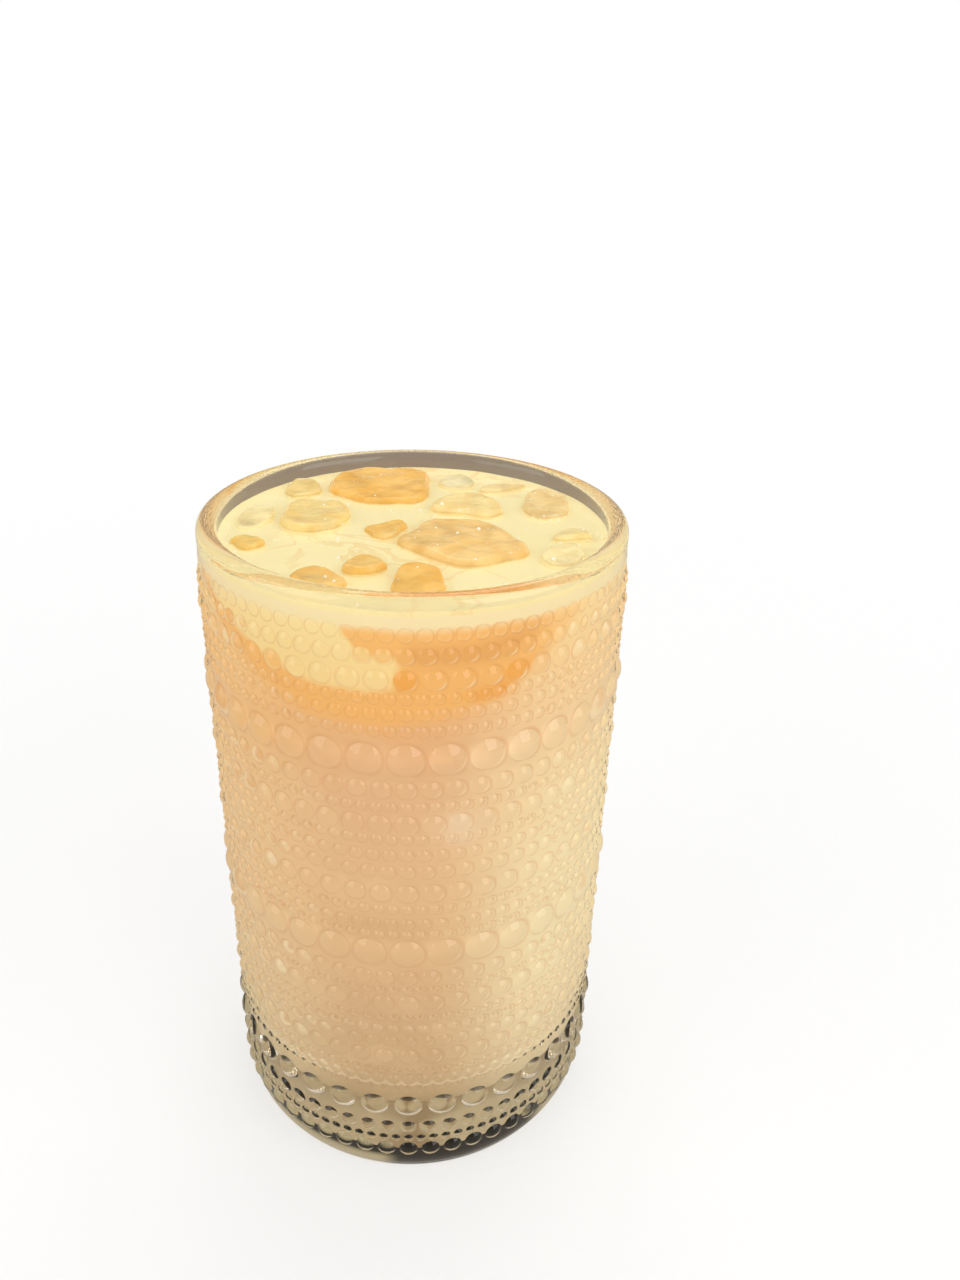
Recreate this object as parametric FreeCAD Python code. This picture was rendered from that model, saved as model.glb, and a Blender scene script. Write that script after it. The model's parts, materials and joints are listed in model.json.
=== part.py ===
import FreeCAD, Part
import math
import os
from FreeCAD import Placement, Rotation, Vector

# An iced milk tea in its tall pressed glass, in millimetres. The origin is the centre of the foot, on the
# surface that the glass stands on, and +Z is up.

# The glass
glass_height = 128.3
wall_radius = 38.2        # outside, between the beads
rim_wall = 3.5            # thickness at the rim, which is rounded over all of it
base_wall = 4.0           # thickness just above the inner floor: the inside is drafted for the mould's plunger
base_thickness = 15.0     # solid glass from the foot to the inner floor
floor_fillet = 8.0        # between the inner floor and wall
foot_inset = 1.6          # how far the foot's edge lies in from the wall
foot_height = 5.0         # where the foot has rounded out to the wall
foot_edge_round = 0.6
hollow_radius = 27.0      # the shallow hollow under the foot
hollow_depth = 1.2

# The larger beads pressed on the outside, in rows: height, beads in the row, diameter, how far they stand out
bead_rows = [
    (7.0, 54, 3.7, 0.85),
    (13.5, 60, 3.2, 0.80),
    (19.5, 36, 5.5, 1.10),
    (33.2, 54, 3.6, 0.85),
    (47.0, 54, 3.7, 0.85),
    (53.4, 60, 3.2, 0.80),
    (59.2, 36, 5.8, 1.10),
    (72.8, 54, 3.6, 0.85),
    (87.3, 54, 3.7, 0.85),
    (94.3, 60, 3.2, 0.80),
    (100.0, 36, 5.8, 1.10),
    (114.5, 54, 3.5, 0.85),
]
first_bead = -88.3        # every row has a bead at this angle from +X, in degrees

# The drink, in three layers that run through: milk tea, a darker tea and milk on top
fill_gap = 3.8            # from the rim's top down to the drink
cream_thickness = 4.6     # of the milk on top, where no swirl hangs from it
tea_thickness = 15.5      # of the tea layer under it
swirl_grid = 13           # points each way on the surface between two layers

# Swirls that sink below a layer's mean level: x and y as shares of the drink's radius, depth and spread in mm
cream_swirls = [(-0.62, -0.78, 8.5, 9.0), (-0.98, -0.15, 4.5, 8.0), (0.15, -1.0, 1.4, 7.0)]
tea_swirls = [(0.35, -0.95, 3.0, 12.0), (-0.7, 0.5, -3.5, 14.0), (0.8, 0.3, 2.5, 10.0)]

# Ice that breaks the surface. A piece's plan is a smooth line through its reaches, at equal angles from +X
# about its centre. Centres and reaches are shares of the drink's radius, reaches in hundredths, so that the
# pieces keep their gaps in a narrower glass. Depth and what stands out are in mm, the tilt in degrees.
# name: (x, y, depth, stands_out, tilt, reaches)
ice_pieces = {
    "ice_back_block": (-0.23, 0.63, 14.0, 0.9, 0.8,
                       [27, 29, 35, 30, 29, 32, 31, 32, 31, 29, 30, 29, 33, 31]),
    "ice_left_back_lump": (-0.67, 0.53, 10.0, 0.8, 2, [11, 11, 13, 15, 11, 10, 12, 15, 12, 13]),
    "ice_left_lump": (-0.54, 0.11, 12.0, 0.9, -1, [19, 20, 23, 23, 27, 20, 17, 19, 24, 25, 23, 20]),
    "ice_far_left_lump": (-0.84, 0.06, 8.0, 0.6, 2, [9, 10, 18, 13, 10, 9, 11, 17, 14, 9]),
    "ice_left_chip": (-0.81, -0.29, 6.0, 0.7, 3, [9, 8, 8, 10, 9, 9, 7, 9, 10, 9]),
    "ice_middle_point": (-0.14, -0.06, 8.0, 0.7, 2, [8, 12, 14, 9, 8, 9, 12, 11, 13, 14, 10, 8]),
    "ice_middle_block": (0.26, -0.20, 15.0, 0.9, -0.8,
                         [31, 28, 29, 31, 33, 35, 30, 34, 30, 27, 31, 33, 31, 36]),
    "ice_pale_slab": (0.27, 0.32, 9.0, 0.8, 1.5, [19, 18, 17, 18, 18, 19, 21, 21, 14, 13, 20, 22]),
    "ice_right_back_round": (0.70, 0.40, 11.0, 0.7, 1.5, [13, 15, 21, 22, 15, 14, 17, 24, 22, 15]),
    "ice_back_sliver": (0.46, 0.66, 6.0, 0.6, 3, [10, 16, 8, 6, 6, 7, 11, 15, 10, 6, 5, 6]),
    "ice_back_round": (0.19, 0.74, 8.0, 0.6, 2, [11, 11, 13, 13, 12, 11, 11, 12, 14, 12]),
    "ice_right_crescent": (0.81, -0.06, 9.0, 0.7, -2, [11, 11, 10, 9, 8, 9, 13, 9, 7, 9]),
    "ice_right_front_round": (0.75, -0.35, 10.0, 0.8, 2, [11, 13, 15, 13, 10, 11, 13, 15, 13, 11]),
    "ice_front_chip": (-0.20, -0.54, 8.0, 0.9, -2, [11, 10, 11, 11, 10, 10, 12, 11, 10, 10]),
    "ice_front_lump": (0.07, -0.72, 11.0, 0.9, 1.5, [12, 13, 19, 19, 14, 12, 15, 18, 19, 16]),
    "ice_front_hump": (-0.39, -0.72, 10.0, 0.9, -2, [13, 10, 11, 14, 14, 14, 11, 11, 12, 16]),
}
# A piece is smooth through these sections: the share of its depth down from its top, the share of its plan
ice_sections = [(1.0, 0.45), (0.8, 0.74), (0.4, 0.96), (0.1, 1.0), (0.03, 0.965), (0.0, 0.9)]

# Worked out from the sizes above
rim_round = rim_wall / 2
rim_start = glass_height - rim_round
inner_rim_radius = wall_radius - rim_wall
inner_base_radius = wall_radius - base_wall
foot_radius = wall_radius - foot_inset
level = glass_height - fill_gap
draft = (inner_rim_radius - inner_base_radius) / (rim_start - base_thickness)
drink_radius = inner_base_radius + draft * (level - base_thickness)
cream_bottom = level - cream_thickness
tea_bottom = cream_bottom - tea_thickness


def at(radius, height):
    """A point of a profile, in the plane y = 0."""
    return Vector(radius, 0, height)


def line(a, b):
    return Part.LineSegment(a, b).toShape()


def arc(a, middle, b):
    return Part.Arc(a, middle, b).toShape()


def revolved(edges):
    """The solid that a closed profile sweeps about the Z axis."""
    face = Part.Face(Part.Wire(edges))
    return face.revolve(Vector(0, 0, 0), Vector(0, 0, 1), 360)


def bowed(a, b, bulge):
    """The middle of an arc from a to b that stands out from their chord by bulge, to the left of a to b."""
    chord = b - a
    return (a + b) / 2 + Vector(-chord.z, 0, chord.x).normalize() * bulge


def circle_edge(solid, radius, height):
    """The solid's circular edge of this radius about the Z axis at this height."""
    for edge in solid.Edges:
        if edge.Degenerated or not isinstance(edge.Curve, Part.Circle):
            continue
        circle = edge.Curve
        if abs(circle.Center.z - height) < 1e-4 and abs(circle.Radius - radius) < 1e-4:
            return edge
    raise ValueError(f"no edge of radius {radius} at height {height}")


def cavity():
    """The inside of the glass up to where the rim starts to round, with its floor fillet."""
    floor_centre, wall_foot = at(0, base_thickness), at(inner_base_radius, base_thickness)
    wall_top, top_centre = at(inner_rim_radius, rim_start), at(0, rim_start)
    inside = revolved(
        [
            line(floor_centre, wall_foot),
            line(wall_foot, wall_top),
            line(wall_top, top_centre),
            line(top_centre, floor_centre),
        ]
    )
    return inside.makeFillet(floor_fillet, [circle_edge(inside, inner_base_radius, base_thickness)])


def bead_row(height, count, diameter, stands_out):
    """One row of beads: balls sunk in the wall, whose domes have this diameter where they leave it."""
    ball_radius = ((diameter / 2) ** 2 + stands_out**2) / (2 * stands_out)
    centre_radius = wall_radius + stands_out - ball_radius
    balls = []
    for k in range(count):
        angle = math.radians(first_bead) + 2 * math.pi * k / count
        centre = Vector(centre_radius * math.cos(angle), centre_radius * math.sin(angle), height)
        balls.append(Part.makeSphere(ball_radius, centre))
    return balls


def glass():
    """The pressed glass: hollowed foot, beaded wall and a rim rounded over its whole thickness."""
    hollow_top, hollow_edge = at(0, hollow_depth), at(hollow_radius, 0)
    hollow_bulge = hollow_depth / 4 - hollow_depth**3 / (4 * hollow_radius**2)
    foot_edge, foot_top = at(foot_radius, 0), at(wall_radius, foot_height)
    # the foot's arc leaves the wall upright, so its centre is level with foot_top
    foot_arc = (foot_inset**2 + foot_height**2) / (2 * foot_inset)
    half_turn = math.asin(foot_height / foot_arc) / 2
    foot_middle = at(
        wall_radius - foot_arc * (1 - math.cos(half_turn)),
        foot_height - foot_arc * math.sin(half_turn),
    )
    outside_top, inside_top = at(wall_radius, rim_start), at(inner_rim_radius, rim_start)
    top_centre = at(0, rim_start)
    body = revolved(
        [
            arc(hollow_top, bowed(hollow_top, hollow_edge, hollow_bulge), hollow_edge),
            line(hollow_edge, foot_edge),
            arc(foot_edge, foot_middle, foot_top),
            line(foot_top, outside_top),
            arc(outside_top, at(wall_radius - rim_round, glass_height), inside_top),
            line(inside_top, top_centre),
            line(top_centre, hollow_top),
        ]
    )
    body = body.makeFillet(foot_edge_round, [circle_edge(body, foot_radius, 0)])
    beads = [ball for row in bead_rows for ball in bead_row(*row)]
    return body.fuse(beads).cut(cavity())


def below(mean, swirls):
    """Everything under a wavy surface that lies at the mean height and sinks at each swirl."""
    reach = 1.2 * wall_radius
    step = 2 * reach / (swirl_grid - 1)

    def height(x, y):
        sunk = 0
        for share_x, share_y, depth, spread in swirls:
            away = math.hypot(x - share_x * drink_radius, y - share_y * drink_radius)
            sunk += depth * math.exp(-((away / spread) ** 2) / 2)
        return mean - sunk

    rows = []
    for i in range(swirl_grid):
        x = i * step - reach
        rows.append([Vector(x, y, height(x, y)) for y in (j * step - reach for j in range(swirl_grid))])
    surface = Part.BSplineSurface()
    surface.interpolate(rows)
    return surface.toShape().extrude(Vector(0, 0, -2 * glass_height))


def ice_piece(x, y, depth, stands_out, tilt, reaches):
    """A melted chunk of ice with a flat top, tilted as it floats in the surface."""
    rings = []
    for down, share in ice_sections:
        ring = []
        for k, reach in enumerate(reaches):
            angle, away = 2 * math.pi * k / len(reaches), share * reach / 100 * drink_radius
            ring.append(Vector(away * math.cos(angle), away * math.sin(angle), -down * depth))
        outline = Part.BSplineCurve()
        outline.interpolate(Points=ring, PeriodicFlag=True)
        rings.append(Part.Wire(outline.toShape()))
    chunk = Part.makeLoft(rings, True, False)
    place = Vector(x * drink_radius, y * drink_radius, level + stands_out)
    chunk.Placement = Placement(place, Rotation(Vector(1, 0, 0), tilt))
    return chunk


def drink_layers(ice):
    """The drink up to its level in three layers, cut round the ice."""
    room = 2 * wall_radius
    above = Part.makeBox(room, room, glass_height, Vector(-room / 2, -room / 2, level))
    drink = cavity().cut(above).cut(list(ice.values()))
    under_cream, under_tea = below(cream_bottom, cream_swirls), below(tea_bottom, tea_swirls)
    tea_and_milk = drink.common(under_cream)
    return {
        "cream_layer": drink.cut(under_cream),
        "tea_layer": tea_and_milk.cut(under_tea),
        "milk_tea": tea_and_milk.common(under_tea),
    }


def main():
    os.makedirs("parts", exist_ok=True)
    ice = {name: ice_piece(*sizes) for name, sizes in ice_pieces.items()}
    nodes = {"glass": glass(), **drink_layers(ice), **ice}
    for name, shape in nodes.items():
        solids = shape.Solids
        print(f"{name}: {len(solids)} solid, {shape.Volume / 1000:.2f} cm3, valid {shape.isValid()}")
        solid = solids[0] if len(solids) == 1 else shape
        solid.exportStep(f"parts/{name}.step")


main()
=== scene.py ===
import json
import math
import random

import bmesh
import bpy
from mathutils import Matrix, Vector, noise
from mathutils.geometry import delaunay_2d_cdt

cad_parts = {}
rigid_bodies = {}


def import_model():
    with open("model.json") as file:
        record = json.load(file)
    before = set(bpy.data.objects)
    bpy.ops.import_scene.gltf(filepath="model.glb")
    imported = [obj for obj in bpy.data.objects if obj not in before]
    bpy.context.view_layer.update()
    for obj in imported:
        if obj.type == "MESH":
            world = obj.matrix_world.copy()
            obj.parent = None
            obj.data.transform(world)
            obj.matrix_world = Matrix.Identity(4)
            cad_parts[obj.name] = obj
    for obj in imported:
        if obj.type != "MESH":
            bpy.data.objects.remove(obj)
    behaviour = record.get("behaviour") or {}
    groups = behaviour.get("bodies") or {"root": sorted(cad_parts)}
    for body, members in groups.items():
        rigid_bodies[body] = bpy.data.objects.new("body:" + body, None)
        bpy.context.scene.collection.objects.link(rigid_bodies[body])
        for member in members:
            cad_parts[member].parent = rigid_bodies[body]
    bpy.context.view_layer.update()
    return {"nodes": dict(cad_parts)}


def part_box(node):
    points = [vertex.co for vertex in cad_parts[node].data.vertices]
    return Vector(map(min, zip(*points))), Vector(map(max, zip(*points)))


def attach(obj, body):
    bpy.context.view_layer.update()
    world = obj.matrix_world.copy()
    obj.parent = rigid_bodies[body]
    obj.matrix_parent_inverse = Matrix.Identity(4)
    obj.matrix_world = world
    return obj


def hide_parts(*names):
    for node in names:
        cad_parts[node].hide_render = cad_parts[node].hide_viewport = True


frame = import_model()

# Lengths in the dictionaries are millimetres and angles are degrees, unless a note says otherwise.
mm = 0.001
scene = bpy.context.scene
scene.view_settings.view_transform = "Standard"


def placed(name, data):
    made = bpy.data.objects.new(name, data)
    scene.collection.objects.link(made)
    return made


cameraSetup = {
    "place": (12.34, -169.84, 189.28),
    "pitchDown": 27.12,
    "roll": -1.7413,
    "lens": 28.125,
    "sensor": 36.0,
    "clip": (0.005, 20.0),  # metres
}


def makeCamera(setup):
    pitch, roll = math.radians(setup["pitchDown"]), math.radians(setup["roll"])
    forward = Vector((0, math.cos(pitch), -math.sin(pitch)))
    level = Vector((1, 0, 0))
    upright = Vector((0, math.sin(pitch), math.cos(pitch)))
    across = math.cos(roll) * level - math.sin(roll) * upright
    up = math.sin(roll) * level + math.cos(roll) * upright
    data = bpy.data.cameras.new("studioCamera")
    data.lens, data.sensor_width = setup["lens"], setup["sensor"]
    data.clip_start, data.clip_end = setup["clip"]
    camera = placed("studioCamera", data)
    turn = Matrix((across, up, -forward)).transposed().to_4x4()
    camera.matrix_world = Matrix.Translation(Vector(setup["place"]) * mm) @ turn
    scene.camera = camera


makeCamera(cameraSetup)
print("camera set")


class Wire:
    # a node's output that can be used in sums: wire * 2, 1 - wire, wire.clamp()
    def __init__(self, tree, socket):
        self.tree, self.socket = tree, socket

    def sum(self, operation, first, second=0.0, clamped=False):
        node = self.tree.nodes.new("ShaderNodeMath")
        node.operation, node.use_clamp = operation, clamped
        plug(self.tree, node.inputs[0], first)
        plug(self.tree, node.inputs[1], second)
        return Wire(self.tree, node.outputs[0])

    def __add__(self, other):
        return self.sum("ADD", self, other)

    def __radd__(self, other):
        return self.sum("ADD", other, self)

    def __sub__(self, other):
        return self.sum("SUBTRACT", self, other)

    def __rsub__(self, other):
        return self.sum("SUBTRACT", other, self)

    def __mul__(self, other):
        return self.sum("MULTIPLY", self, other)

    def __rmul__(self, other):
        return self.sum("MULTIPLY", other, self)

    def __truediv__(self, other):
        return self.sum("DIVIDE", self, other)

    def __rtruediv__(self, other):
        return self.sum("DIVIDE", other, self)

    def __neg__(self):
        return self.sum("MULTIPLY", self, -1.0)

    def clamp(self):
        return self.sum("ADD", self, 0.0, clamped=True)


def plug(tree, socket, value):
    if isinstance(value, Wire):
        tree.links.new(value.socket, socket)
    elif isinstance(value, (tuple, list)) and len(value) == 3 and len(socket.default_value) == 4:
        socket.default_value = (*value, 1.0)
    else:
        socket.default_value = value


class Wiring:
    # the nodes of a material or of the world
    def __init__(self, owner):
        owner.use_nodes = True
        self.owner, self.tree = owner, owner.node_tree
        self.tree.nodes.clear()

    def node(self, kind, settings=None, sockets=None, out=0):
        node = self.tree.nodes.new(kind)
        for name, value in (settings or {}).items():
            if name == "stops":
                fillRamp(node.color_ramp, value)
            elif name == "interpolation":
                node.color_ramp.interpolation = value
            else:
                setattr(node, name, value)
        for name, value in (sockets or {}).items():
            plug(self.tree, node.inputs[name], value)
        return Wire(self.tree, node.outputs[out]) if node.outputs else None

    def math(self, operation, first, second=0.0):
        return self.node("ShaderNodeMath", {"operation": operation}, {0: first, 1: second})

    def place(self):
        # the object's own coordinates, in metres
        return self.node("ShaderNodeTexCoord", out="Object")

    def path(self, kind):
        return self.node("ShaderNodeLightPath", out=kind)

    def parts(self, kind, source, scales):
        # what a separating node gives, each part times its scale
        outputs = self.node(kind, sockets={0: source}).socket.node.outputs
        return [Wire(self.tree, output) * scale for output, scale in zip(outputs, scales)]

    def axes(self):
        # x, y and z in millimetres
        return self.parts("ShaderNodeSeparateXYZ", self.place(), [1.0 / mm] * 3)

    def turn(self, across, ahead):
        # the angle in degrees from ahead towards across
        return self.math("ARCTAN2", across, ahead) * math.degrees(1.0)

    def noise(self, scale, detail=2.0, distortion=0.0):
        # scale is features per metre
        sockets = {"Vector": self.place(), "Scale": scale, "Detail": detail, "Distortion": distortion}
        return self.node("ShaderNodeTexNoise", sockets=sockets)

    def step(self, value, low, high):
        # 0 at low, 1 at high, smooth between; low may be the larger
        sockets = {"Value": value, "From Min": low, "From Max": high}
        return self.node("ShaderNodeMapRange", {"interpolation_type": "SMOOTHSTEP"}, sockets)

    def hump(self, value, centre, spread):
        # 1 at the centre, falling off as a bell
        away = (value - centre) / spread
        return self.math("EXPONENT", -(away * away))

    def mix(self, factor, first, second, blend="MIX"):
        settings = {"data_type": "RGBA", "blend_type": blend}
        return self.node("ShaderNodeMix", settings, {0: factor, 6: first, 7: second}, out=2)

    def ramp(self, value, stops, interpolation="LINEAR"):
        settings = {"stops": stops, "interpolation": interpolation}
        return self.node("ShaderNodeValToRGB", settings, {0: value})

    def principled(self, **sockets):
        named = {words(name): value for name, value in sockets.items()}
        return self.node("ShaderNodeBsdfPrincipled", sockets=named)

    def bump(self, height, strength, distance):
        sockets = {"Height": height, "Strength": strength, "Distance": distance}
        return self.node("ShaderNodeBump", sockets=sockets)

    def glow(self, colour):
        return self.node("ShaderNodeEmission", sockets={"Color": colour, "Strength": 1.0})

    def blend(self, factor, first, second):
        return self.node("ShaderNodeMixShader", sockets={0: factor, 1: first, 2: second})

    def show(self, shader, kind="Material"):
        self.node("ShaderNodeOutput" + kind, sockets={"Surface": shader})
        return self.owner


class Finish(Wiring):
    def __init__(self, name):
        super().__init__(bpy.data.materials.new(name))


def words(name):
    # baseColor to Base Color
    spaced = "".join(" " + c if c.isupper() else c for c in name)
    named = {"ior": "IOR", "specular I O R Level": "Specular IOR Level"}
    return named.get(spaced, spaced[0].upper() + spaced[1:])


def fillRamp(ramp, stops):
    while len(ramp.elements) < len(stops):
        ramp.elements.new(1.0)
    for element, (position, colour) in zip(ramp.elements, stops):
        element.position = position
        element.color = (*colour, 1.0)


def paint(red, green, blue):
    # a colour given on the 0 to 255 scale of a paint swatch, as linear light
    def linear(value):
        share = value / 255
        return share / 12.92 if share <= 0.04045 else ((share + 0.055) / 1.055) ** 2.4

    return (linear(red), linear(green), linear(blue))


class Shell:
    # vertices in metres and faces, gathered ring by ring
    def __init__(self):
        self.verts, self.faces = [], []

    def point(self, radius, angle, height):
        # angle 0 is the front, and it grows towards +X
        x, y = radius * math.sin(angle), -radius * math.cos(angle)
        self.verts.append((x * mm, y * mm, height * mm))
        return len(self.verts) - 1

    def ring(self, radius, angles, height):
        # height is a number, or a function of x and y
        made = []
        for angle in angles:
            x, y = radius * math.sin(angle), -radius * math.cos(angle)
            made.append(self.point(radius, angle, height(x, y) if callable(height) else height))
        return made

    def band(self, first, second):
        for i in range(len(first)):
            j = (i + 1) % len(first)
            self.faces.append((first[i], first[j], second[j], second[i]))

    def fan(self, ring, tip):
        for i in range(len(ring)):
            self.faces.append((ring[i], ring[(i + 1) % len(ring)], tip))

    def lathe(self, rings, tip=None):
        for first, second in zip(rings, rings[1:]):
            self.band(first, second)
        if tip is not None:
            self.fan(rings[-1], tip)


def arcPoints(centre, radius, start, end, steps):
    # points of an arc in the plane of radius and height, both ends included
    made = []
    for k in range(steps + 1):
        angle = math.radians(start + (end - start) * k / steps)
        made.append((centre[0] + radius * math.cos(angle), centre[1] + radius * math.sin(angle)))
    return made


def pieceFrom(name, mesh, material, replaced=()):
    mesh.materials.clear()
    mesh.materials.append(material)
    piece = placed(name, mesh)
    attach(piece, "root")
    if replaced:
        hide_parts(*replaced)
    return piece


def meshFrom(name, shell, sharpAngle=None, sharpEdges=None):
    mesh = bpy.data.meshes.new(name)
    mesh.from_pydata(shell.verts, [], shell.faces)
    build = bmesh.new()
    build.from_mesh(mesh)
    bmesh.ops.recalc_face_normals(build, faces=build.faces)
    shadeSmooth(build, sharpAngle)
    build.to_mesh(mesh)
    build.free()
    if sharpEdges is not None:
        for edge in mesh.edges:
            edge.use_edge_sharp = sharpEdges(*edge.vertices)
    mesh.update()
    return mesh


def shadeSmooth(build, sharpAngle=None):
    # edges that bend more than the angle stay crisp
    for face in build.faces:
        face.smooth = True
    if sharpAngle is not None:
        limit = math.radians(sharpAngle)
        for edge in build.edges:
            edge.smooth = edge.calc_face_angle(0.0) < limit


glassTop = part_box("glass")[1].z / mm
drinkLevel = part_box("cream_layer")[1].z / mm

pressedGlass = {
    "height": glassTop,
    "wallRadius": 38.2,
    "rimWall": 3.5,
    "baseWall": 4.0,
    "baseThickness": 15.0,
    "floorFillet": 8.0,
    "footInset": 1.6,
    "footHeight": 5.0,
    "footEdge": 0.6,
    "hollowRadius": 27.0,
    "hollowDepth": 1.2,
    "around": 144,  # steps round the lip, the inside and the foot
    "lipSteps": 14,
    "insideRings": (104.0, 80.0, 50.0, 34.0),  # heights
    "filletSteps": 12,
    "floorRings": (17.0, 8.0),  # radii
    "footRings": (0.2, 0.4, 0.6, 0.8),  # shares of the foot's height, from the top
    "footEdgeArc": (18, -90, 6),  # start, end and steps
    "hollowRings": (1.0, 0.93, 0.8, 0.6, 0.35),  # shares of the hollow's radius
    "tint": (1.0, 0.985, 0.955),
    "ior": 1.5,
    "roughness": (0.005, 0.035),  # where it is clean and where it is smeared
    "smears": (0.3, 0.8),  # the noise's levels between clean and smeared
    "firstBead": 1.7,  # every row has a bead at this angle from the front
    # height of the row, beads in it, their diameter, how far they stand out
    "beadRows": [
        (7.0, 54, 3.7, 0.85),
        (10.2, 96, 1.9, 0.55),
        (13.5, 60, 3.2, 0.80),
        (19.5, 36, 5.5, 1.10),
        (24.6, 98, 1.8, 0.55),
        (27.0, 84, 2.1, 0.60),
        (29.4, 98, 1.9, 0.55),
        (33.2, 54, 3.6, 0.85),
        (37.3, 74, 2.6, 0.65),
        (40.4, 86, 2.2, 0.60),
        (43.3, 98, 1.9, 0.55),
        (47.0, 54, 3.7, 0.85),
        (50.2, 98, 1.9, 0.55),
        (53.4, 60, 3.2, 0.80),
        (59.2, 36, 5.8, 1.10),
        (63.4, 98, 1.9, 0.55),
        (66.0, 84, 2.2, 0.60),
        (69.2, 98, 1.9, 0.55),
        (72.8, 54, 3.6, 0.85),
        (77.5, 74, 2.6, 0.65),
        (81.0, 85, 2.2, 0.60),
        (84.3, 98, 1.9, 0.55),
        (87.3, 54, 3.7, 0.85),
        (90.8, 98, 1.9, 0.55),
        (94.3, 60, 3.2, 0.80),
        (100.0, 36, 5.8, 1.10),
        (105.4, 96, 1.9, 0.55),
        (108.5, 86, 2.1, 0.60),
        (111.3, 98, 1.9, 0.55),
        (114.5, 54, 3.5, 0.85),
        (118.7, 74, 2.7, 0.65),
        (122.3, 84, 2.3, 0.14),
    ],
    # sides and rings of a bead, by the diameter it has at least
    "beadFineness": [(5.0, 28, 5), (3.0, 18, 3), (0.0, 12, 2)],
}


def wallPattern(sizes):
    # The outer wall rolled out flat and cut into triangles round the beads' outlines. The sheet's two
    # upright edges are one seam, which runs between beads.
    radius, turn = sizes["wallRadius"], 2 * math.pi
    around = turn * radius
    first = math.radians(sizes["firstBead"])
    bottom, top = sizes["footHeight"], sizes["height"] - sizes["rimWall"] / 2
    points, lines, beads = [], [], []

    def chain(flat, closed=False):
        ids = list(range(len(points), len(points) + len(flat)))
        points.extend(flat)
        lines.extend(zip(ids, ids[1:]))
        if closed:
            lines.append((ids[-1], ids[0]))
        return ids

    rows = sizes["beadRows"]
    seam = [(radius * (first - math.pi / rows[0][1]), bottom)]
    for height, count, across, _ in rows:
        gap = radius * (first - math.pi / count)
        seam += [(gap, height + part * across / 2) for part in (-1, 0, 1)]
    seam.append((seam[-1][0], top))
    left = chain(seam)
    right = chain([(s + around, z) for s, z in seam])
    steps = sizes["around"]
    ends = []
    for seamEnd in (0, -1):
        start, height = seam[seamEnd]
        flat = [(start + around * k / steps, height) for k in range(1, steps)]
        inner = chain(flat)
        lines.extend([(left[seamEnd], inner[0]), (inner[-1], right[seamEnd])])
        ends.append([left[seamEnd]] + inner)
    for height, count, across, rise in rows:
        sides, rings = next(f[1:] for f in sizes["beadFineness"] if across >= f[0])
        for k in range(count):
            middle = radius * (first + turn * k / count)
            flat = [
                (
                    middle + across / 2 * math.cos(turn * (n + 0.5) / sides),
                    height + across / 2 * math.sin(turn * (n + 0.5) / sides),
                )
                for n in range(sides)
            ]
            beads.append((chain(flat, closed=True), middle, height, across / 2, rise, rings))
    return points, lines, dict(zip(right, left)), ends, beads


def beadedGlass(sizes):
    radius = sizes["wallRadius"]
    points, lines, seamPairs, (bottomRing, topRing), beads = wallPattern(sizes)
    flat = [Vector(p) for p in points]
    insideOnly, closest = 1, 1e-7
    made = delaunay_2d_cdt(flat, lines, [], insideOnly, closest)
    source = [ids[0] for ids in made[3]]
    shell = Shell()
    for s, z in points:
        shell.point(radius, s / radius, z)
    beadOf = {}
    for number, bead in enumerate(beads):
        beadOf.update((i, number) for i in bead[0])
    for triangle in made[2]:
        ids = [source[i] for i in triangle]
        owners = {beadOf.get(i, -1) for i in ids}
        if len(owners) > 1 or -1 in owners:
            shell.faces.append(tuple(seamPairs.get(i, i) for i in ids))
    for outline, middle, height, reach, rise, rings in beads:
        ball = (reach**2 + rise**2) / (2 * rise)
        outer = outline
        for k in range(rings - 1, 0, -1):
            share = math.sin(math.pi / 2 * k / rings)
            lift = math.sqrt(ball**2 - (share * reach) ** 2) - (ball - rise)
            inner = []
            for i in outline:
                s, z = points[i]
                across, along = middle + share * (s - middle), height + share * (z - height)
                inner.append(shell.point(radius + lift, across / radius, along))
            shell.band(outer, inner)
            outer = inner
        shell.fan(outer, shell.point(radius + rise, middle / radius, height))
    finishInside(shell, sizes, topRing, points)
    finishFoot(shell, sizes, bottomRing, points)

    # the right edge of the sheet is left without faces, so those points go
    used = sorted({i for face in shell.faces for i in face})
    renumber = {old: new for new, old in enumerate(used)}
    shell.verts = [shell.verts[i] for i in used]
    shell.faces = [tuple(renumber[i] for i in face) for face in shell.faces]
    owner = {renumber[i]: number for i, number in beadOf.items() if i in renumber}
    return meshFrom("beadedGlass", shell, None, lambda a, b: owner.get(a, -1) == owner.get(b, -2))


def ringAngles(sizes, ring, points):
    return [points[i][0] / sizes["wallRadius"] for i in ring]


def finishInside(shell, sizes, topRing, points):
    # the rounded lip, the drafted inside and the floor with its fillet
    angles = ringAngles(sizes, topRing, points)
    lip = sizes["rimWall"] / 2
    lipCentre = (sizes["wallRadius"] - lip, sizes["height"] - lip)
    profile = arcPoints(lipCentre, lip, 0, 180, sizes["lipSteps"])[1:]
    baseRadius = sizes["wallRadius"] - sizes["baseWall"]
    fillet, floor = sizes["floorFillet"], sizes["baseThickness"]
    foot = floor + fillet
    profile += [(innerRadius(sizes, z), z) for z in sizes["insideRings"]]
    profile += arcPoints((baseRadius - fillet, foot), fillet, 0, -90, sizes["filletSteps"])
    profile += [(radius, floor) for radius in sizes["floorRings"]]
    rings = [topRing] + [shell.ring(r, angles, z) for r, z in profile]
    shell.lathe(rings, shell.point(0, 0, floor))


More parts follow.
